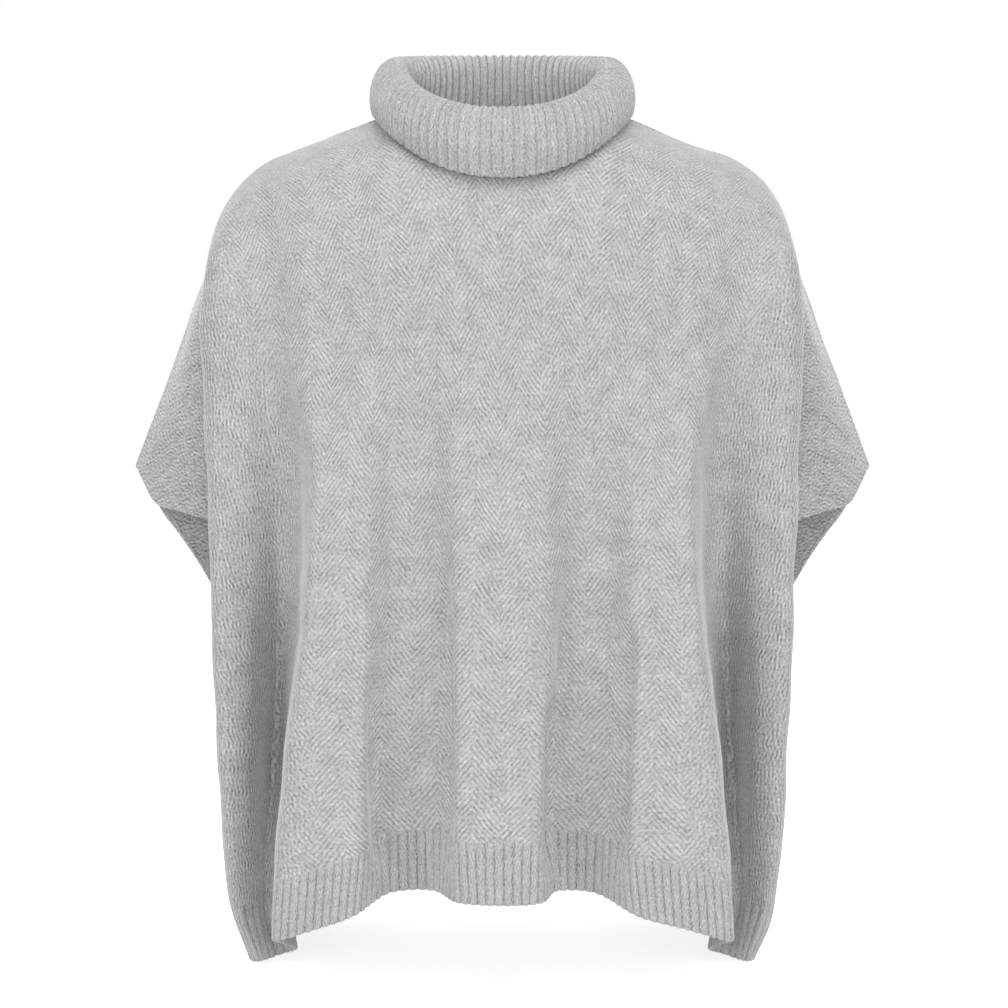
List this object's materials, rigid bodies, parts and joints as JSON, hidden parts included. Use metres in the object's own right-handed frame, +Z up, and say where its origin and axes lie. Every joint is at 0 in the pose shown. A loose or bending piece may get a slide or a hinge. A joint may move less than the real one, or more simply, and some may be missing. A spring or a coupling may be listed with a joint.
{
  "type": "knit sweater",
  "caption": "Poncho-cut knit sweater with batwing sleeves, curved rib hem and folded rib collar, filled out as if worn.",
  "frame": {"origin": "midway between the two shoulder seams where they meet the neck, at the height where the garment hangs from the wearer's shoulders", "axes": "+Z up, the wearer looks along -Y, and X runs across the shoulders"},
  "size_m": [0.6222, 0.331, 0.759],
  "materials": {
    "herringbone_knit": "soft brushed wool in two light greys, matte",
    "rib_knit": "ribbed wool, light grey, matte"
  },
  "bodies": {
    "root": {"front_panel": "herringbone_knit", "back_panel": "herringbone_knit", "front_hem_rib": "rib_knit", "back_hem_rib": "rib_knit", "collar": "rib_knit"}
  },
  "joints": []
}
